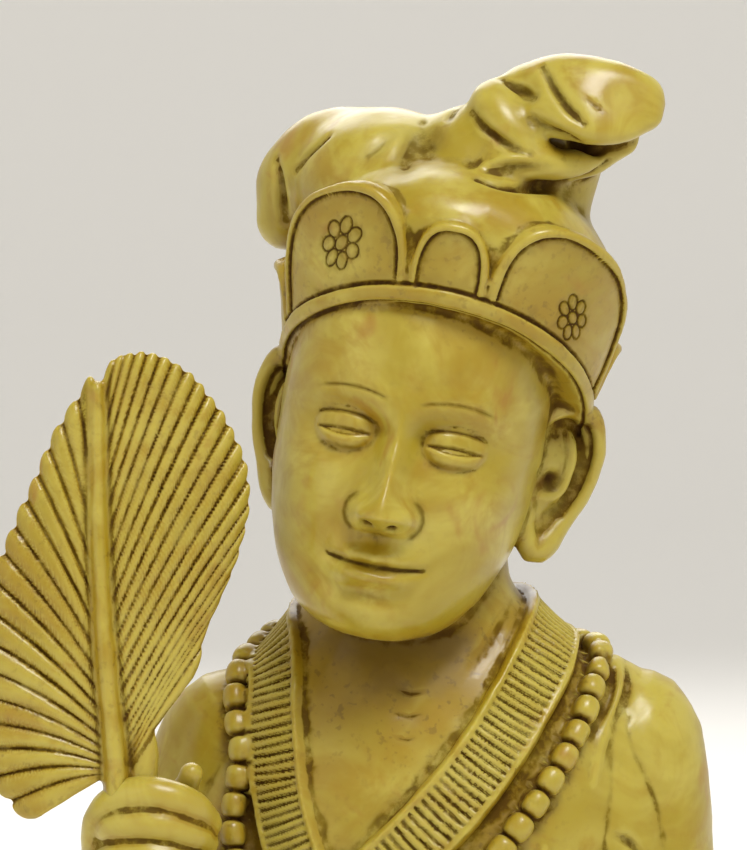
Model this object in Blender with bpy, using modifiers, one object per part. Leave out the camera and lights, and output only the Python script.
"""A soapstone scholar, carved from one stone and cut off flat below the elbows.

He wears a soft cap with a turned-up lobed brim, a robe with a pleated collar and
a string of beads, and holds a palm-leaf fan in his right hand. Metres, +Z up, the
front faces -Y, and the origin is on the cut face. Each free form is drawn in parts
of its own height: the torso in 64ths, the head and cap in 44ths, the fan in 45ths.
"""

import math

import bmesh
import bpy
import numpy as np
from mathutils import Euler, Matrix, Vector
from mathutils.bvhtree import BVHTree

MM = 0.001

# Driving sizes
TORSO_HEIGHT = 64 * MM
HEAD_HEIGHT = 44 * MM
FAN_LENGTH = 43.5 * MM
FAN_THICKNESS = 2.6 * MM
FAN_WEB = 1.15 * MM
COLLAR_WIDTH = 7.3 * MM
COLLAR_THICKNESS = 1.3 * MM
COLLAR_PLEAT = 1.9 * MM
BEAD_DIAMETER = 2.9 * MM
BEAD_PITCH = 3.0 * MM

# Parts of the height that the free forms are drawn in
TORSO_PARTS = 64
HEAD_PARTS = 44
FAN_PARTS = 45
TORSO = TORSO_HEIGHT / TORSO_PARTS
HEAD = HEAD_HEIGHT / HEAD_PARTS
FAN = FAN_LENGTH / FAN_PARTS

# Poses, in degrees
HEAD_LEAN = 11
HEAD_TURN = -5
HEAD_NOD = 2
FAN_LEAN = 0
FAN_TURN = 5

# How fine the fused stone is
VOXEL = 0.45 * MM
BODY_VOXEL = 0.9 * MM
TRIANGLES = 9700
# How coarse the face may get, as triangles over the whole figure
FACE_TRIANGLES = 40000
BALL_FINENESS = 4
TUBE_SIDES = 12
RING_POINTS = 96

CHIN = Vector((-6.2, -2.0, 60.6)) * TORSO
GRIP = Vector((-33.1, -20.0, 46.2)) * TORSO


def turned(lean=0, turn=0, nod=0):
    """Leans about the depth axis, after nodding about X, then turns about Z."""
    angles = [math.radians(a) for a in (nod, lean, turn)]
    return (
        Matrix.Rotation(angles[2], 4, "Z")
        @ Matrix.Rotation(angles[1], 4, "Y")
        @ Matrix.Rotation(angles[0], 4, "X")
    )


def head_frame():
    """From head parts, measured from the head's centre, to metres."""
    spin = turned(HEAD_LEAN, HEAD_TURN, HEAD_NOD)
    centre = CHIN + spin @ Vector((0, 0, HEAD_HEIGHT / 2))
    return Matrix.Translation(centre) @ spin @ Matrix.Scale(HEAD, 4)


def fan_frame():
    """From fan parts, measured from the grip, to metres: u right, v up, w to the back."""
    spin = turned(FAN_LEAN, FAN_TURN)
    return Matrix.Translation(GRIP) @ spin @ Matrix.Scale(FAN, 4)


BODY_FRAME = Matrix.Scale(TORSO, 4)
HEAD_FRAME = head_frame()
FAN_FRAME = fan_frame()


def mesh_of(bm, frame):
    """Turns a bmesh into a mesh in metres, with its faces pointing out."""
    bm.transform(frame)
    bmesh.ops.recalc_face_normals(bm, faces=bm.faces)
    mesh = bpy.data.meshes.new("form")
    bm.to_mesh(mesh)
    bm.free()
    return mesh


def ball(frame, centre, radii, turn=(0, 0, 0)):
    bm = bmesh.new()
    bmesh.ops.create_icosphere(bm, subdivisions=int(BALL_FINENESS), radius=1)
    spin = Euler([math.radians(a) for a in turn]).to_matrix().to_4x4()
    place = Matrix.Translation(centre) @ spin @ Matrix.Diagonal((*radii, 1))
    return mesh_of(bm, frame @ place)


def smooth_path(rows, count, closed=False):
    """Rows spread evenly along a Catmull-Rom curve. Columns past the third ride along."""
    p = np.asarray(rows, float)
    if closed:
        p = np.vstack([p[-1:], p, p[:2]])
    else:
        p = np.vstack([2 * p[0] - p[1], p, 2 * p[-1] - p[-2]])
    spans = len(p) - 3
    t = np.linspace(0, spans, spans * 24 + 1)
    i = np.minimum(t.astype(int), spans - 1)
    f = (t - i)[:, None]
    a, b, c, d = p[i], p[i + 1], p[i + 2], p[i + 3]
    q = b + 0.5 * f * (c - a + f * (2 * a - 5 * b + 4 * c - d + f * (3 * b - a - 3 * c + d)))
    length = np.r_[0, np.cumsum(np.linalg.norm(np.diff(q[:, :3], axis=0), axis=1))]
    at = np.linspace(0, length[-1], count + 1 if closed else count)[:count]
    return np.column_stack([np.interp(at, length, q[:, k]) for k in range(q.shape[1])])


def round_ends(rows, steps=3):
    """Adds a half ball at each end of rows of x, y, z and radius."""
    rows = np.asarray(rows, float)
    out = list(rows)
    for end, inner in ((0, 1), (-1, -2)):
        tip, radius = rows[end, :3], rows[end, 3]
        way = tip - rows[inner, :3]
        way /= np.linalg.norm(way)
        for k in range(1, steps + 1):
            angle = math.pi / 2 * k / (steps + 0.15)
            point = [*(tip + way * radius * math.sin(angle)), radius * math.cos(angle)]
            out.insert(0, point) if end == 0 else out.append(point)
    return np.array(out)


def tubes(frame, paths, closed=False):
    """A bevelled curve along each path of x, y, z and radius."""
    curve = bpy.data.curves.new("tubes", "CURVE")
    curve.dimensions = "3D"
    curve.bevel_depth = 1.0
    curve.bevel_resolution = TUBE_SIDES // 2 - 2
    curve.use_fill_caps = True
    for path in paths:
        spline = curve.splines.new("POLY")
        spline.points.add(len(path) - 1)
        spline.use_cyclic_u = closed
        for point, row in zip(spline.points, path):
            point.co = (*row[:3], 1)
            point.radius = row[3]
    return curve_mesh(curve, frame)


def evaluated_mesh(obj):
    bpy.context.view_layer.update()
    graph = bpy.context.evaluated_depsgraph_get()
    return bpy.data.meshes.new_from_object(obj.evaluated_get(graph))


def curve_mesh(curve, frame):
    """The closed mesh that a curve draws, with its caps welded on."""
    guide = bpy.data.objects.new("guide", curve)
    bpy.context.scene.collection.objects.link(guide)
    mesh = evaluated_mesh(guide)
    bpy.data.objects.remove(guide)
    bm = bmesh.new()
    bm.from_mesh(mesh)
    bpy.data.meshes.remove(mesh)
    bmesh.ops.remove_doubles(bm, verts=bm.verts, dist=1e-4)
    return mesh_of(bm, frame)


def tube(frame, rows, count=24):
    return tubes(frame, [round_ends(smooth_path(rows, count))])


def loft(frame, rings, closed=False):
    """A skin over rings of points, capped at both ends or closed into a loop."""
    rings = np.asarray(rings, float)
    many, around = rings.shape[:2]
    faces = [
        (i * around + j, i * around + (j + 1) % around,
         (i + 1) % many * around + (j + 1) % around, (i + 1) % many * around + j)
        for i in range(many if closed else many - 1)
        for j in range(around)
    ]
    if not closed:
        faces.append(tuple(range(around)))
        faces.append(tuple(range((many - 1) * around, many * around)))
    mesh = bpy.data.meshes.new("loft")
    mesh.from_pydata(rings.reshape(-1, 3).tolist(), [], faces)
    bm = bmesh.new()
    bm.from_mesh(mesh)
    bpy.data.meshes.remove(mesh)
    return mesh_of(bm, frame)


def fused(name, meshes, voxel):
    """One skin over all these closed meshes, without what is inside it."""
    bm = bmesh.new()
    for mesh in meshes:
        bm.from_mesh(mesh)
        bpy.data.meshes.remove(mesh)
    joined = bpy.data.meshes.new(name)
    bm.to_mesh(joined)
    bm.free()
    guide = bpy.data.objects.new(name, joined)
    bpy.context.scene.collection.objects.link(guide)
    remesh = guide.modifiers.new("Fuse", "REMESH")
    remesh.mode = "VOXEL"
    remesh.voxel_size = voxel
    skin = evaluated_mesh(guide)
    bpy.data.objects.remove(guide)
    return largest_island(skin)


def largest_island(mesh):
    bm = bmesh.new()
    bm.from_mesh(mesh)
    unseen = set(bm.verts)
    islands = []
    while unseen:
        island = []
        front = [unseen.pop()]
        while front:
            vert = front.pop()
            island.append(vert)
            for edge in vert.link_edges:
                other = edge.other_vert(vert)
                if other in unseen:
                    unseen.remove(other)
                    front.append(other)
        islands.append(island)
    islands.sort(key=len)
    for island in islands[:-1]:
        bmesh.ops.delete(bm, geom=island, context="VERTS")
    bm.to_mesh(mesh)
    bm.free()
    return mesh


def superellipse(half_x, half_y, power, count=RING_POINTS):
    """Points round an ellipse that is squarer as power grows past 2, from +X."""
    angle = np.linspace(0, 2 * math.pi, count, endpoint=False)
    c, s = np.cos(angle), np.sin(angle)
    x = half_x * np.sign(c) * np.abs(c) ** (2 / power)
    y = half_y * np.sign(s) * np.abs(s) ** (2 / power)
    return x, y


def unit(vectors):
    return vectors / np.maximum(np.linalg.norm(vectors, axis=-1, keepdims=True), 1e-12)


def bump(value, width):
    return np.exp(-((value / width) ** 2) / 2)


def step(value, low, high):
    t = np.clip((value - low) / (high - low), 0, 1)
    return t * t * (3 - 2 * t)


# The head, in 44ths of its height from its centre. Eyes lie at half its height, and
# hairline, brow, nose base and chin are a third of the face apart.
FACE_THIRD = 12.5
CHIN_Z = -22.0
NOSE_BASE_Z = CHIN_Z + FACE_THIRD
BROW_Z = NOSE_BASE_Z + FACE_THIRD
EYE_X = 6.0
EYE_HALF = 3.1
MOUTH_Z = NOSE_BASE_Z - FACE_THIRD / 3

# Height, half width, front and back of the skull and jaw
HEAD_RINGS = [
    (-22.0, 0.2, -9.2, -8.8),
    (-21.6, 3.8, -12.6, -5.4),
    (-20.4, 6.9, -14.4, -1.6),
    (-18.0, 9.6, -15.5, 2.6),
    (-13.0, 12.4, -15.9, 8.4),
    (-6.5, 14.0, -16.1, 14.0),
    (0.0, 14.5, -16.2, 17.2),
    (6.0, 14.5, -16.7, 18.5),
    (12.0, 13.8, -16.0, 17.4),
    (17.0, 11.2, -12.8, 13.4),
    (20.4, 7.2, -7.8, 8.2),
    (21.7, 3.6, -3.9, 4.1),
    (22.0, 0.2, -0.2, 0.2),
]


def face_relief(x, z):
    """How far the calm, evenly proportioned face stands out of the plain egg."""
    side = np.abs(x)
    eye = (side - EYE_X) / EYE_HALF
    brow_line = z - BROW_Z - 0.6 + 0.04 * (side - 6) ** 2
    brow = 0.8 * bump(brow_line, 1.3) * step(side, 0.8, 3) * step(13 - side, 0, 4)
    socket = -1.35 * bump(side - EYE_X + 0.4, 3.6) * bump(z - 0.9, 2.3)
    inner_corner = -0.7 * bump(side - 2.7, 1.1) * bump(z - 0.4, 1.8)
    lid = 1.5 * np.sqrt(np.clip(1 - (eye / 1.08) ** 2 - ((z + 0.1) / 2.2) ** 2, 0, 1))
    cheek = 0.9 * bump(side - 8.4, 3.4) * bump(z + 5.6, 3.4)
    muzzle = 1.0 * bump(x, 5.0) * bump(z - MOUTH_Z, 3.6)
    bridge_height = np.interp(z, [-10.2, -9.5, -8.4, -6.8, -3.5, 0.0, 2.5, 5.5], [0, 2.9, 4.9, 4.5, 3.0, 1.8, 1.0, 0])
    bridge_width = np.interp(z, [-9.0, -7.6, -4.0, 0.5, 4.0], [1.7, 1.65, 1.15, 1.2, 2.6])
    nose = bridge_height * bump(x, bridge_width)
    wing = 1.9 * bump(side - 2.5, 0.85) * bump(z - NOSE_BASE_Z - 1.35, 1.05)
    philtrum = -0.3 * bump(x, 0.55) * bump(z - NOSE_BASE_Z + 1.7, 0.9)
    lip_end = step(5.2 - side, 0, 3.4)
    upper_lip = 0.95 * bump(z - MOUTH_Z - 0.85 - 0.2 * bump(side - 1.1, 0.7), 0.62) * lip_end
    lower_lip = 1.15 * bump(z - MOUTH_Z + 1.15, 0.78) * lip_end
    mouth_line = -0.55 * bump(z - MOUTH_Z - 0.014 * side**2, 0.4) * step(5.6 - side, 0, 2.0)
    under_lip = -0.6 * bump(z - MOUTH_Z + 3.0, 0.9) * bump(x, 3.2)
    chin = 1.1 * bump(x, 3.6) * bump(z - CHIN_Z - 2.8, 2.2)
    return (
        brow + socket + inner_corner + lid + cheek + muzzle + nose + wing
        + philtrum + upper_lip + lower_lip + mouth_line + under_lip + chin
    )


def head_form():
    rows = np.array(HEAD_RINGS)
    z = np.concatenate([[CHIN_Z, -21.9], np.linspace(-21.6, 21.7, RING_POINTS), [22.0]])
    smooth = smooth_path(np.column_stack([rows[:, 0], rows[:, 0] * 0, rows[:, 0] * 0, rows[:, 1:]]), 400)
    rings = []
    for height in z:
        half, front, back = (np.interp(height, smooth[:, 0], smooth[:, k]) for k in (3, 4, 5))
        x, y = superellipse(half, (back - front) / 2, 2.15)
        y += (back + front) / 2
        facing = step(-(y - (back + front) / 2) / max(back - front, 0.1), 0.18, 0.36)
        y -= face_relief(x, np.full_like(x, height)) * facing
        rings.append(np.column_stack([x, y, np.full_like(x, height)]))
    return loft(HEAD_FRAME, rings)


# The ears' size, how far they stand out to the front in degrees, and where they leave the head
EAR_SIZE = 0.92
EAR_SPLAY = 44
EAR_OUT = 13.0
EAR_SHIFT = 1.4


def ear_frame(side):
    """From the ear's own directions (x out of the head, y back, z up) to metres."""
    return HEAD_FRAME @ (
        Matrix.Translation((side * EAR_OUT + EAR_SHIFT, 1.4, -1.4))
        @ Matrix.Rotation(math.radians(-side * EAR_SPLAY), 4, "Z")
        @ Matrix.Diagonal((side * EAR_SIZE, EAR_SIZE, EAR_SIZE, 1))
    )


def ear_forms(side):
    """One long-lobed ear: a bowl inside a raised rim, splayed to the front."""
    frame = ear_frame(side)
    rim = [
        (0.2, -2.4, 3.4, 1.0), (1.0, -1.6, 6.6, 1.3), (1.7, 1.2, 8.2, 1.5), (2.4, 4.3, 7.0, 1.6),
        (2.6, 5.8, 3.4, 1.5), (2.3, 5.4, -1.2, 1.4), (1.7, 3.8, -5.2, 1.5), (1.3, 1.8, -8.6, 1.8),
        (1.0, 0.2, -9.6, 1.5), (0.6, -1.0, -7.2, 1.2), (0.4, -1.6, -3.6, 1.0),
    ]
    inner_ridge = [(1.2, -0.6, -3.0, 0.6), (1.7, 2.0, -2.2, 0.8), (2.0, 3.1, 1.4, 0.8), (1.8, 2.4, 4.8, 0.7)]
    return [
        tube(frame, rim, 40),
        tube(frame, inner_ridge, 16),
        ball(frame, (0.2, 1.6, 2.6), (1.7, 4.4, 5.6), (0, -8, 0)),
        ball(frame, (0.2, 1.4, -3.2), (1.6, 3.4, 6.2)),
        ball(frame, (0.8, -1.5, -0.8), (0.9, 0.9, 1.3)),
        ball(frame, (-2.4, 1.2, 0.4), (3.8, 4.0, 7.2)),
    ]


# The cap, in the head's own frame. Its brim's foot is tilted up to the front.
BRIM_HALF_X = 16.7
BRIM_HALF_Y = 17.5
BRIM_RIGHT = 1.4
BRIM_BACK = 1.0
BRIM_SIDE_Z = 5.2
BRIM_TILT = 9.2
BRIM_FLARE = 0.26
BAND_HEIGHT = 1.9
# Each lobe's middle and half span round the head in degrees, and its height
LOBES = [
    (2, 13.8, 7.2), (52, 35.5, 11.0), (-43, 30.5, 11.2), (118.5, 30.5, 9.6), (-107, 33, 9.6), (184.5, 35, 9.0),
]
LOBE_POWER = 2.7
LOBE_NOTCH = 0.8
LOBE_RIM = 0.62
RIM_SINK = 0.22
# Across the flat band along the brim's foot: rise and distance out
BAND_SECTION = [(0.0, -3.4), (0.05, 0.1), (0.3, 0.42), (0.95, 0.52), (1.6, 0.42), (1.85, 0.1), (1.9, -3.4)]


def brim_point(degrees, rise, out=0.0):
    """A point on the brim's outside, rise above its foot and out from its skin."""
    angle = np.radians(degrees)
    grow = BRIM_FLARE * rise + out
    x = BRIM_RIGHT + (BRIM_HALF_X + grow) * np.sin(angle)
    y = BRIM_BACK - (BRIM_HALF_Y + grow) * np.cos(angle)
    z = BRIM_SIDE_Z + BRIM_TILT * np.cos(angle) + rise
    return np.stack(np.broadcast_arrays(x, y, z), axis=-1)


def lobe_rise(degrees):
    """Height of the brim's scalloped edge above the band, round the head."""
    rise = np.full_like(degrees, LOBE_NOTCH)
    for middle, half, height in LOBES:
        off = (degrees - middle + 180) % 360 - 180
        arch = np.clip(1 - np.abs(off / half) ** LOBE_POWER, 0, 1) ** (1 / LOBE_POWER)
        rise = np.maximum(rise, height * arch)
    return rise


def brim_forms():
    degrees = np.arange(0, 360, 1.5)
    top = BAND_HEIGHT + lobe_rise(degrees)
    sections = [(0.0, -3.6), (0.0, 0.0), (0.35, 0.0), (0.7, 0.0), (0.95, -0.1), (1.0, -0.7), (1.0, -3.6)]
    rings = np.stack([brim_point(degrees, top * share, out) for share, out in sections], axis=1)
    forms = [loft(HEAD_FRAME, rings, closed=True)]
    band = np.stack([brim_point(degrees, rise, out) for rise, out in BAND_SECTION], axis=1)
    forms.append(loft(HEAD_FRAME, band, closed=True))
    rims = []
    for middle, half, height in LOBES:
        across, rise = superellipse(half - 1.9, height - LOBE_RIM * 0.6, LOBE_POWER, 92)
        at = brim_point(middle - across[:47], BAND_HEIGHT - 0.4 + rise[:47], -RIM_SINK)
        rims.append(np.column_stack([at, np.full(len(at), LOBE_RIM)]))
    forms.append(tubes(HEAD_FRAME, rims))
    return forms


# Rise above the brim's foot, and size as a share of the foot's outline
DOME_RINGS = [
    (0.6, 0.93), (4, 0.98), (8, 1.05), (11.5, 1.09), (15, 1.05), (18, 0.95), (21, 0.78), (24, 0.5), (25.4, 0.02),
]


def dome_form():
    """The cap's round crown, filling the brim and level at its top."""
    degrees = np.arange(0, 360, 4.0)
    rows = smooth_path([(rise, share, 0) for rise, share in DOME_RINGS], 40)
    top = rows[-1, 0]
    rings = []
    for rise, share, _ in rows:
        foot = brim_point(degrees, 0.0)
        middle = np.array([BRIM_RIGHT, BRIM_BACK, 0])
        ring = middle + (foot - middle) * share
        ring[:, 2] = BRIM_SIDE_Z + BRIM_TILT * np.cos(np.radians(degrees)) * (1 - 0.8 * rise / top) * share + rise
        rings.append(ring)
    return loft(HEAD_FRAME, rings)


def cap_forms():
    """The soft cap: a dome that sags behind on one side and flops over in front on the other."""
    return [
        dome_form(),
        # The sagging side
        ball(HEAD_FRAME, (-6.6, 2.0, 25.2), (11.5, 12.5, 9.4), (0, 12, 0)),
        tube(HEAD_FRAME, [(-8.0, 3.0, 26.4, 8.0), (-14.0, 4.6, 26.2, 7.4), (-17.4, 5.8, 23.8, 5.7), (-18.4, 6.2, 20.4, 3.8)]),
        # The neck, with its front and its saddle
        tube(HEAD_FRAME, [(4.6, 0.5, 23.0, 11.0), (7.0, 0.2, 28.4, 8.6), (8.8, 0.2, 32.4, 6.4), (9.4, -1.6, 36.6, 5.0)]),
        ball(HEAD_FRAME, (2.6, -2.2, 28.6), (8.8, 8.2, 7.6), (0, 30, 0)),
        tube(HEAD_FRAME, [(-8.0, 1.0, 29.0, 5.0), (-2.6, -1.2, 29.8, 5.0), (1.4, -2.8, 32.2, 4.4), (3.2, -3.6, 34.6, 3.5)]),
        # The roll that the tip is folded over
        tube(HEAD_FRAME, [(4.4, -2.2, 37.4, 2.6), (2.9, -5.2, 36.4, 3.2), (3.9, -7.2, 34.6, 3.0), (6.6, -8.2, 32.6, 2.3),
                          (9.6, -7.4, 31.8, 1.7)]),
        # The flopping tip, with a blunt end and a lip along its front
        tube(HEAD_FRAME, [(5.8, -3.2, 38.6, 3.4), (9.2, -4.4, 39.5, 4.0), (13.6, -5.0, 39.8, 4.0), (17.4, -5.0, 39.8, 3.4)]),
        ball(HEAD_FRAME, (12.9, -6.9, 38.5), (6.8, 3.0, 4.8), (-32, 0, 0)),
        tube(HEAD_FRAME, [(6.4, -7.4, 36.2, 1.3), (9.6, -9.2, 35.6, 1.5), (13.4, -9.7, 35.5, 1.55), (16.6, -8.6, 36.2, 1.5),
                          (19.4, -6.4, 38.2, 1.5)]),
        # The fold that the tip hangs over
        tube(HEAD_FRAME, [(1.5, -8.4, 29.2, 0.7), (3.6, -9.3, 30.3, 1.5), (6.8, -9.2, 30.9, 1.9), (10.4, -7.8, 31.2, 1.9),
                          (13.8, -5.2, 32.4, 1.7), (15.4, -2.4, 33.4, 1.2)]),
        tube(HEAD_FRAME, [(12.4, -1.6, 34.6, 3.2), (15.2, -3.4, 35.0, 2.5), (17.2, -4.4, 35.3, 1.7)]),
    ]


# The body, in 64ths of its height from the cut
CUT_OVERLAP = -6.0
# Height, middle, half width and half depth
TORSO_RINGS = [
    (CUT_OVERLAP, 0.5, 3.0, 23.0, 16.2), (12, 0.5, 3.0, 22.6, 16.4), (30, 0.5, 2.5, 22.6, 16.6),
    (42, 0.5, 2.5, 23.0, 15.8), (50, 0.0, 2.8, 22.4, 14.2), (56, -0.5, 3.0, 19.4, 12.2),
    (60, -1.2, 3.0, 15.4, 10.8), (64, -1.8, 2.4, 12.0, 9.8), (68, -2.0, 1.6, 10.6, 9.2), (78, -1.6, 1.0, 10.2, 9.0),
]
LEFT_ARM = [
    (19.0, 3.2, 51.5, 6.4), (21.4, 3.4, 48.4, 8.6), (22.4, 3.6, 40, 8.8), (22.8, 3.4, 28, 9.0),
    (23.2, 2.6, 14, 9.6), (23.2, 1.6, CUT_OVERLAP, 10.0),
]
RIGHT_ARM = [
    (-18.5, 4.0, 51.0, 6.4), (-21.8, 4.4, 47.4, 8.4), (-24.4, 5.0, 36, 8.8), (-26.2, 3.8, 23, 9.6),
    (-27.4, 0.6, 12, 10.4), (-28.0, -4.0, 7, 10.4), (-28.6, -8.0, 9, 9.4),
]
SLEEVE = [(-28.4, -6.0, 8, 9.4), (-29.0, -10.4, 16, 8.2), (-29.6, -13.4, 23.0, 6.9), (-29.9, -14.8, 26.6, 6.3)]
SLEEVE_MOUTH = ((-30.0, -15.4, 28.0), (24, 0, 0), 5.6, 1.0)
WRIST = [(-29.4, -13.0, 22, 4.4), (-29.8, -15.6, 30, 4.2), (-29.4, -16.6, 36, 4.6)]
SLEEVE_HANG = ((-28.6, -7.0, 3.0), (9.6, 11.6, 13.0))
# Soft masses that carry the chest and the back over into the upper arms
SHOULDER_SIDES = [((18.4, 2.4, 27.0), (9.6, 11.8, 31.0)), ((-19.4, 3.2, 25.0), (9.6, 11.6, 30.0))]


def limb(frame, rows, count, fold_depth=0.0, fold_count=0, twist=0.0):
    """A sleeve along x, y, z and radius, with slanting folds round it."""
    path = round_ends(smooth_path(rows, count))
    way = unit(np.gradient(path[:, :3], axis=0))
    side = unit(np.array([1.0, 0, 0]) - way[:, :1] * way)
    other = np.cross(way, side)
    share = np.linspace(0, 1, len(path))[:, None]
    angle = np.linspace(0, 2 * math.pi, RING_POINTS, endpoint=False)[None, :]
    fold = (0.5 + 0.5 * np.cos(fold_count * angle + twist * share)) ** 2 * step(share, 0.15, 0.5)
    radius = path[:, 3:] * (1 + fold_depth * fold)
    rings = (
        path[:, None, :3]
        + side[:, None, :] * (radius * np.cos(angle))[..., None]
        + other[:, None, :] * (radius * np.sin(angle))[..., None]
    )
    return loft(frame, rings)


def body_forms():
    rings = []
    for z, x0, y0, half_x, half_y in smooth_path(TORSO_RINGS, 60)[:, [0, 1, 2, 3, 4]]:
        x, y = superellipse(half_x, half_y, 2.3)
        rings.append(np.column_stack([x + x0, y + y0, np.full_like(x, z)]))
    return [
        loft(BODY_FRAME, rings),
        limb(BODY_FRAME, LEFT_ARM, 50, 0.05, 5, 5.0),
        limb(BODY_FRAME, RIGHT_ARM, 50, 0.06, 5, -4.0),
        limb(BODY_FRAME, SLEEVE, 24, 0.05, 6, 2.0),
        ball(BODY_FRAME, *SLEEVE_HANG),
        *[ball(BODY_FRAME, *side) for side in SHOULDER_SIDES],
    ]


# The hand, in the body's frame. Each finger goes round the handle's front.
INDEX_FINGER = [
    (-35.0, -15.6, 37.6, 2.2), (-34.7, -18.4, 41.4, 2.1), (-32.2, -21.0, 44.0, 2.0), (-28.6, -22.2, 44.5, 1.9),
    (-25.5, -21.4, 43.2, 1.85), (-23.8, -18.8, 41.2, 1.7),
]
LOWER_FINGER = [
    (-34.6, -17.6, -0.8, 1.0), (-32.8, -21.0, 0.2, 1.03), (-29.2, -22.6, 0.5, 1.0), (-25.6, -21.6, -0.5, 0.97),
    (-24.0, -18.8, -1.8, 0.88),
]
FINGER_HEIGHTS = (41.0, 37.7, 34.5)
FINGER_RADII = (1.75, 1.72, 1.6)
THUMB = [(-27.8, -14.6, 38.5, 2.6), (-26.8, -16.2, 43.0, 2.0), (-25.8, -17.6, 45.4, 1.3), (-25.4, -18.0, 46.3, 1.3)]
HANDLE_RADIUS = 1.3


def hand_forms():
    fingers = []
    for height, radius in zip(FINGER_HEIGHTS, FINGER_RADII):
        rows = [(x, y, height + rise, radius * share) for x, y, rise, share in LOWER_FINGER]
        fingers.append(round_ends(smooth_path(rows, 26)))
    fingers.append(round_ends(smooth_path(INDEX_FINGER, 32)))
    below = Vector(GRIP) / TORSO
    handle = [(below.x, below.y, below.z + 2, HANDLE_RADIUS), (below.x + 0.4, below.y, 26.0, HANDLE_RADIUS)]
    centre, lean, mouth_radius, hem_radius = SLEEVE_MOUTH
    angle = np.linspace(0, 2 * math.pi, 24, endpoint=False)
    hem = np.column_stack([
        mouth_radius * np.cos(angle), mouth_radius * np.sin(angle), 0 * angle, 0 * angle + hem_radius
    ])
    mouth_frame = Matrix.Translation(centre) @ Euler([math.radians(a) for a in lean]).to_matrix().to_4x4()
    return [
        tubes(BODY_FRAME @ mouth_frame, [hem], closed=True),
        tubes(BODY_FRAME, fingers),
        tube(BODY_FRAME, THUMB),
        tube(BODY_FRAME, WRIST),
        tube(BODY_FRAME, handle, 12),
        ball(BODY_FRAME, (-29.2, -17.2, 37.0), (5.2, 4.2, 8.0), (0, 2, 0)),
        ball(BODY_FRAME, (-33.2, -16.6, 36.4), (3.4, 4.2, 7.6), (0, 4, 0)),
    ]


# The fan, in 45ths of its length from the grip: a midrib with ridged leaf on both sides
MIDRIB = [
    (0.0, 0, -2.0, 1.5), (-0.3, 0, 3.0, 1.35), (-1.3, 0, 13.2, 1.25), (-1.9, 0, 24.7, 1.1),
    (-2.1, 0, 34.2, 1.0), (-2.2, 0, 42.0, 0.95),
]
MIDRIB_DEPTH = 1.85
FAN_RIGHT = [
    (-1.2, 44.0), (0.8, 45.0), (3.6, 45.1), (7.2, 43.2), (9.6, 40.6), (12.0, 37.2), (13.8, 32.6), (13.9, 27.8),
    (12.2, 21.4), (9.4, 15.4), (8.2, 10.6),
]
FAN_LEFT = [
    (-2.6, 43.2), (-4.2, 40.2), (-6.6, 36.4), (-8.4, 32.0), (-10.4, 27.4), (-12.6, 21.6), (-14.2, 16.0),
    (-15.0, 11.0), (-14.8, 6.6), (-13.4, 2.2), (-11.4, -1.8), (-8.6, -4.4),
]
# Where the leaf's right half runs down into the grip
LEAF_STUB = [(3.0, 0, 6.0, 1.0), (3.0, 0, 2.2, 1.5), (2.6, 0, -2.0, 1.7)]
# How many ribs each half has, where they start along the midrib, how their roots bunch up, and how much
# closer their tips stand at the top of the leaf
RIBS_RIGHT = (22, -1.0, 40.0, 1.6, 0.55)
RIBS_LEFT = (17, 0.4, 30.0, 2.2, 0.0)
RIB_STEPS = 6
RIB_ROWS = 22
RIB_DEPTH_SHARE = 0.42
MOST_RIB_DEPTH = 0.8
RIB_TIP = 1.1
RIB_NOTCH = 1.2
RIB_SPRING = 0.9
FAN_BOW = 0.010


def rib_ridge(phase):
    """Height across the ribs, from 0 in a sharp groove to 1 on a round crest."""
    off = 2 * (phase % 1) - 1
    return np.sqrt(np.clip(1 - 0.97 * off**2, 0, 1))


def leaf_grid(outline, ribs, steps, rows):
    """Points over one half of the leaf, with their rib's phase, pitch and share of the way out."""
    count, low, high, power, crowding = ribs
    many = count * steps + 1
    turn = np.linspace(0, 1, many)
    edge = smooth_path([(u, 0, v) for u, v in outline], 400)
    along = (1 - crowding) * turn + crowding * turn**2
    tips = np.column_stack([np.interp(along, np.linspace(0, 1, len(edge)), column) for column in edge.T])
    heights = low + (high - low) * (1 - turn) ** power
    midrib = smooth_path(MIDRIB, 200)
    starts = np.column_stack([np.interp(heights, midrib[:, 2], midrib[:, 0]), heights * 0, heights])
    phase = np.linspace(0, count, many)
    way = tips - starts
    length = np.linalg.norm(way, axis=1)
    reach = 1 + (RIB_TIP - RIB_NOTCH * (1 - rib_ridge(phase))) / np.maximum(length, 4)
    share = np.linspace(0, 1, rows)
    out = (share[None, :] * reach[:, None])[..., None]
    points = starts[:, None] + way[:, None] * out
    # Each rib leaves the midrib steeply and then leans out
    points[..., 2] += RIB_SPRING * np.sin(math.pi * out[..., 0]) * np.abs(way[:, :1]) / 14
    apart = np.gradient(points, axis=0) * steps
    pitch = np.abs(way[:, None, 0] * apart[..., 2] - way[:, None, 2] * apart[..., 0]) / length[:, None]
    return points, phase, pitch, share


def rib_depth(pitch):
    """How deep the groove beside a rib is, in fan parts."""
    return np.minimum(pitch * RIB_DEPTH_SHARE, MOST_RIB_DEPTH)


def leaf_half(outline, ribs):
    points, phase, pitch, share = leaf_grid(outline, ribs, RIB_STEPS, RIB_ROWS)
    swell = np.sqrt(np.clip(1 - step(share, 0.8, 1.04) ** 2, 0.08, 1))
    half = FAN_WEB / FAN / 2 + rib_depth(pitch) * rib_ridge(phase)[:, None]
    half = np.minimum(half * swell, FAN_THICKNESS / FAN / 2)
    lift = half[..., None] * np.array([0, 1, 0])
    return loft(Matrix.Identity(4), np.concatenate([points - lift, (points + lift)[:, ::-1]], axis=1))


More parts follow.
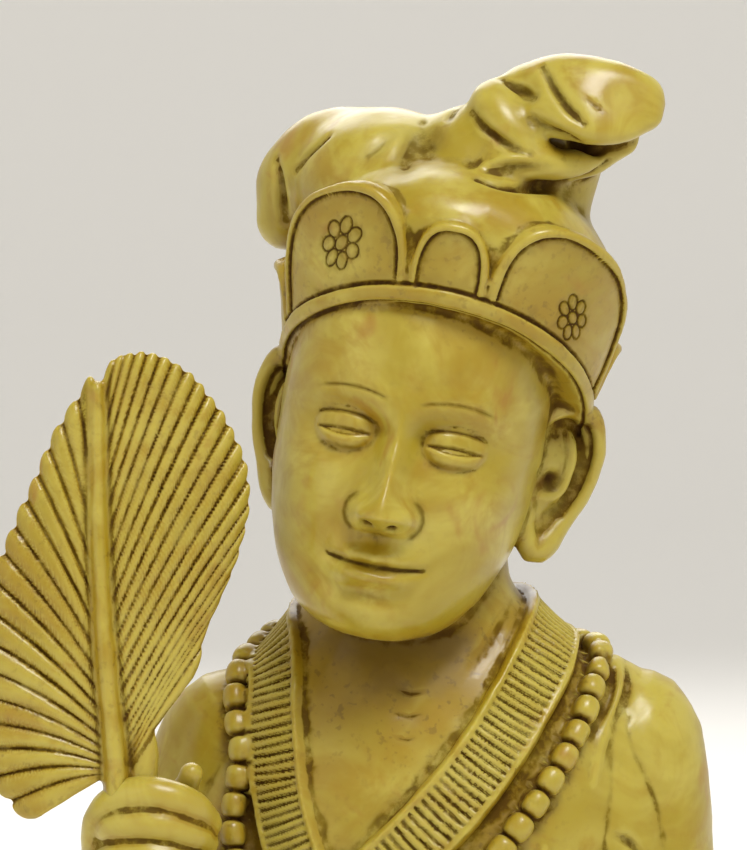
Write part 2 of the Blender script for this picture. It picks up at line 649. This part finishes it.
def fan_form():
    stem = tube(Matrix.Identity(4), MIDRIB, 40)
    bm = bmesh.new()
    bm.from_mesh(stem)
    for vert in bm.verts:
        vert.co.y *= MIDRIB_DEPTH
    leaves = [leaf_half(FAN_RIGHT, RIBS_RIGHT), leaf_half(FAN_LEFT, RIBS_LEFT)]
    leaves.append(tube(Matrix.Identity(4), LEAF_STUB))
    for mesh in leaves:
        bm.from_mesh(mesh)
    for mesh in (stem, *leaves):
        bpy.data.meshes.remove(mesh)
    for vert in bm.verts:
        vert.co.y += FAN_BOW * vert.co.x**2
    return mesh_of(bm, FAN_FRAME)


# Collar and beads, in the body's frame: middle lines that are laid on the body's skin
COLLAR_FROM_LEFT = [
    (-9.0, 14.0, 61.6), (-1.5, 15.0, 61.8), (7.0, 13.0, 62.2), (12.8, 5.5, 62.6), (13.2, -3.6, 60.2), (10.6, -10.0, 55.0),
    (5.2, -13.5, 46.6), (-2.0, -15.5, 38.6), (-9.5, -16.0, 31.8), (-17.0, -14.0, 25.0), (-22.5, -9.0, 19.0),
]
COLLAR_FROM_RIGHT = [
    (4.5, 14.0, 61.8), (-3.0, 15.0, 61.6), (-11.0, 12.0, 61.8), (-16.2, 4.0, 61.0), (-17.6, -4.5, 57.6), (-18.4, -9.5, 51.0),
    (-17.8, -12.0, 43.0), (-15.6, -13.8, 35.5), (-12.5, -15.0, 29.5),
]
BEADS_LOOP = [
    (-1.5, 16.0, 58.5), (9.0, 13.5, 60.5), (17.2, 6.0, 60.0), (18.8, -2.0, 57.6), (17.4, -8.0, 53.0),
    (14.6, -11.5, 47.6), (10.4, -13.5, 41.6), (4.6, -15.0, 34.6), (-3.0, -16.0, 27.6), (-11.0, -15.0, 23.6),
    (-17.8, -12.0, 25.5), (-20.8, -9.5, 32.0), (-21.8, -8.5, 41.0), (-21.8, -7.0, 48.5), (-21.2, -2.0, 54.6),
    (-18.4, 5.0, 59.0), (-11.0, 13.0, 60.2),
]
RIM_SHARE = 0.1
# 1 for a ball, near 0 for a plain cylinder
BEAD_ROUNDNESS = 0.8
BEAD_PROUD = 0.3
BEAD_LENGTH_SHARE = 1.0
SKIN_SINK = 1.6 * MM


def on_skin(tree, points):
    return np.array([tree.find_nearest(Vector(p))[0] for p in points])


def skin_normals(tree, points, passes=6):
    """Outward directions at points on the skin, evened out along their line."""
    normals = np.array([tree.find_nearest(Vector(p))[1] for p in points])
    for _ in range(passes):
        inner = normals[:-2] + 2 * normals[1:-1] + normals[2:]
        normals = unit(np.vstack([normals[:1], inner, normals[-1:]]))
    return normals


def collar_line(tree, middle_line):
    """A band's middle on the skin, with its outward and crosswise directions and its length."""
    line = smooth_path(np.array(middle_line) * TORSO, 90)
    for _ in range(3):
        line = smooth_path(on_skin(tree, line)[::3], 90)
    length = np.linalg.norm(np.diff(line, axis=0), axis=1).sum()
    along = max(60, int(length / COLLAR_PLEAT * 6))
    line = smooth_path(line, along)
    normals = skin_normals(tree, line, passes=14)
    way = unit(np.gradient(line, axis=0))
    return line, normals, unit(np.cross(way, normals)), length


def pleated_strip(tree, middle_line, lift):
    """A collar band laid on the skin: crosswise pleats between two raised rims."""
    line, normals, across, length = collar_line(tree, middle_line)
    along = len(line)
    place = np.linspace(-1, 1, 17)
    grid = np.array([on_skin(tree, line + across * COLLAR_WIDTH / 2 * w) for w in place])
    travelled = np.linspace(0, length, along)
    pleat = 0.5 + 0.5 * np.cos(2 * math.pi * travelled / COLLAR_PLEAT)
    top, bottom = [], []
    for w, points in zip(place, grid):
        is_rim = abs(w) > 1 - 2 * RIM_SHARE
        height = COLLAR_THICKNESS if is_rim else COLLAR_THICKNESS * (0.5 + 0.42 * pleat)
        edge = 0.35 if abs(w) == 1 else 1.0
        top.append(points + normals * (lift + np.broadcast_to(height * edge, along))[:, None])
        bottom.append(points - normals * SKIN_SINK)
    rings = np.stack(top + bottom[::-1], axis=1)
    return loft(Matrix.Identity(4), rings)


def bead_forms(tree):
    line = smooth_path(np.array(BEADS_LOOP) * TORSO, 160, closed=True)
    for _ in range(2):
        line = smooth_path(on_skin(tree, line), 160, closed=True)
    length = np.linalg.norm(np.diff(np.vstack([line, line[:1]]), axis=0), axis=1).sum()
    count = round(length / BEAD_PITCH)
    line = smooth_path(line, count, closed=True)
    normals = skin_normals(tree, line, passes=2)
    ways = unit(np.roll(line, -1, axis=0) - np.roll(line, 1, axis=0))
    forms = []
    for point, normal, way in zip(line, normals, ways):
        turn = Vector(way).to_track_quat("Z", "Y").to_matrix().to_4x4()
        centre = Matrix.Translation(Vector(point + normal * BEAD_DIAMETER * BEAD_PROUD))
        half = BEAD_DIAMETER / 2
        size = Matrix.Diagonal((half, half, BEAD_PITCH * BEAD_LENGTH_SHARE / 2, 1))
        forms.append(barrel(centre @ turn @ size))
    return forms


def barrel(frame):
    """A bead: a short cylinder with rounded ends, of radius 1 and half length 1."""
    bm = bmesh.new()
    bmesh.ops.create_uvsphere(bm, u_segments=TUBE_SIDES, v_segments=8, radius=1)
    for vert in bm.verts:
        around = math.hypot(vert.co.x, vert.co.y)
        if around > 1e-6:
            vert.co.xy *= around**BEAD_ROUNDNESS / around
        vert.co.z = math.copysign(abs(vert.co.z) ** 0.85, vert.co.z)
    return mesh_of(bm, frame)


# Folds of the robe, in the body's frame: their crests and how bold they are
FOLDS = [
    ([(20.8, 2.0, 58.0), (20.8, -4.0, 54.4), (19.4, -8.0, 49.5), (18.0, -10.0, 44.5)], 1.2),
    ([(29.5, -3.0, 35.0), (24.0, -7.0, 29.0), (17.0, -9.5, 27.0)], 2.0),
    ([(31.0, 0.0, 25.0), (25.5, -7.6, 18.0), (17.5, -11.0, 16.0)], 2.4),
    ([(31.5, 2.0, 14.0), (26.0, -8.0, 7.0), (18.0, -12.0, 5.0)], 2.4),
    ([(12.0, -12.0, 38.0), (11.0, -13.5, 20.0), (9.4, -14.0, -4.0)], 2.0),
    ([(4.5, -14.0, 30.0), (2.6, -15.0, 16.0), (1.0, -15.0, -4.0)], 2.3),
    ([(-4.5, -15.0, 22.0), (-5.6, -15.0, 10.0), (-6.5, -15.0, -4.0)], 2.1),
    ([(-13.0, -14.0, 20.0), (-13.5, -14.0, 10.0), (-13.5, -14.0, -4.0)], 2.0),
    ([(19.0, 9.0, 56.0), (13.0, 17.0, 44.0), (4.0, 19.5, 33.0), (-4.0, 20.0, 27.0)], 2.3),
    ([(21.5, 9.0, 46.0), (16.0, 17.0, 33.0), (8.0, 20.0, 22.0), (0.0, 20.0, 15.0)], 2.6),
    ([(22.0, 9.0, 33.0), (17.5, 17.5, 20.0), (11.0, 20.0, 9.0), (6.0, 20.0, -4.0)], 2.6),
    ([(-19.0, 9.0, 56.0), (-14.5, 17.0, 45.0), (-7.0, 19.5, 36.0)], 2.2),
    ([(-21.5, 9.0, 45.0), (-17.0, 17.0, 33.0), (-10.0, 20.0, 24.0), (-4.0, 20.0, 18.0)], 2.5),
    ([(-22.0, 9.0, 31.0), (-18.0, 17.5, 19.0), (-13.0, 20.0, 8.0), (-9.0, 20.0, -4.0)], 2.6),
    ([(30.5, 8.0, 38.0), (31.0, 10.0, 26.0), (28.0, 13.5, 16.0)], 2.2),
    ([(-29.0, 13.0, 38.0), (-33.0, 10.0, 26.0), (-36.0, 4.0, 16.0)], 2.3),
    ([(-30.0, 14.0, 22.0), (-35.0, 8.0, 12.0), (-38.0, -1.0, 6.0)], 2.4),
    ([(-34.5, 1.0, 33.0), (-37.5, -4.0, 22.0), (-36.5, -12.0, 14.0)], 2.2),
    ([(-31.5, -19.0, 25.0), (-31.5, -19.0, 12.0), (-31.5, -19.0, -4.0)], 1.9),
    ([(-25.5, -18.0, 25.0), (-25.0, -18.5, 12.0), (-25.0, -17.5, -4.0)], 1.9),
]
FOLD_SINK = 0.66


def fold_forms(tree):
    """Soft ridges laid along the skin, thin at both ends."""
    paths = []
    for crest, bold in FOLDS:
        line = smooth_path(on_skin(tree, smooth_path(np.array(crest) * TORSO, 16)), 30)
        swell = np.sin(np.linspace(0.15, 1, 30) * math.pi * 0.75)
        radius = bold * TORSO * swell
        sunk = line - skin_normals(tree, line) * (radius * FOLD_SINK)[:, None]
        paths.append(round_ends(np.column_stack([sunk, radius])))
    return [tubes(Matrix.Identity(4), paths)]


def body_tree():
    """The body's outer skin alone, to lay the collar and beads on."""
    skin = fused("skin", body_forms(), BODY_VOXEL)
    bm = bmesh.new()
    bm.from_mesh(skin)
    bpy.data.meshes.remove(skin)
    for _ in range(8):
        bmesh.ops.smooth_vert(bm, verts=bm.verts, factor=0.5, use_axis_x=True, use_axis_y=True, use_axis_z=True)
    tree = BVHTree.FromBMesh(bm)
    bm.free()
    return tree


def figure_forms():
    tree = body_tree()
    forms = body_forms() + fold_forms(tree) + hand_forms() + cap_forms() + brim_forms() + bead_forms(tree)
    forms += [head_form(), fan_form(), *ear_forms(-1), *ear_forms(1)]
    forms.append(pleated_strip(tree, COLLAR_FROM_RIGHT, 0.0))
    forms.append(pleated_strip(tree, COLLAR_FROM_LEFT, 0.5 * MM))
    return forms


def cut_flat(mesh):
    """Saws the stone off at the origin's height and closes the cut."""
    bm = bmesh.new()
    bm.from_mesh(mesh)
    geometry = bm.verts[:] + bm.edges[:] + bm.faces[:]
    found = bmesh.ops.bisect_plane(
        bm, geom=geometry, dist=1e-6, plane_co=(0, 0, 0), plane_no=(0, 0, -1), clear_outer=True
    )
    edges = [item for item in found["geom_cut"] if isinstance(item, bmesh.types.BMEdge)]
    bmesh.ops.contextual_create(bm, geom=edges)
    bmesh.ops.triangulate(bm, faces=bm.faces)
    bmesh.ops.recalc_face_normals(bm, faces=bm.faces)
    bm.to_mesh(mesh)
    bm.free()


def face_group(obj):
    """Marks the face, which stays finer than the plain stone."""
    group = obj.vertex_groups.new(name="face")
    to_head = HEAD_FRAME.inverted()
    points = np.array([to_head @ vert.co for vert in obj.data.vertices])
    weight = (
        step(-points[:, 1], 12.5, 14.5)
        * step(12 - np.abs(points[:, 0]), 0, 3)
        * step(points[:, 2], CHIN_Z + 1, CHIN_Z + 4)
        * step(BROW_Z + 2 - points[:, 2], 0, 3)
    )
    for index in np.flatnonzero(weight > 0.01):
        group.add([int(index)], float(weight[index]), "REPLACE")
    return group


def stone_material():
    material = bpy.data.materials.new("soapstone")
    material.use_nodes = True
    shader = material.node_tree.nodes["Principled BSDF"]
    shader.inputs["Base Color"].default_value = (0.56, 0.47, 0.12, 1)
    shader.inputs["Roughness"].default_value = 0.32
    shader.inputs["Metallic"].default_value = 0.0
    return material


def main():
    for obj in list(bpy.data.objects):
        bpy.data.objects.remove(obj)
    stone = fused("scholar_figure", figure_forms(), VOXEL)
    rough = bpy.data.objects.new("scholar_figure", stone)
    collection = bpy.data.collections.new("soapstone_scholar")
    bpy.context.scene.collection.children.link(collection)
    collection.objects.link(rough)
    fine = rough.modifiers.new("Fine facets", "DECIMATE")
    fine.ratio = FACE_TRIANGLES / (2 * len(stone.polygons))
    coarse = rough.modifiers.new("Coarse facets", "DECIMATE")
    coarse.ratio = TRIANGLES / FACE_TRIANGLES
    coarse.vertex_group = face_group(rough).name
    coarse.invert_vertex_group = True
    faceted = evaluated_mesh(rough)
    rough.modifiers.clear()
    cut_flat(faceted)
    rough.data = faceted
    rough.vertex_groups.clear()
    faceted.shade_smooth()
    faceted.materials.append(stone_material())


main()
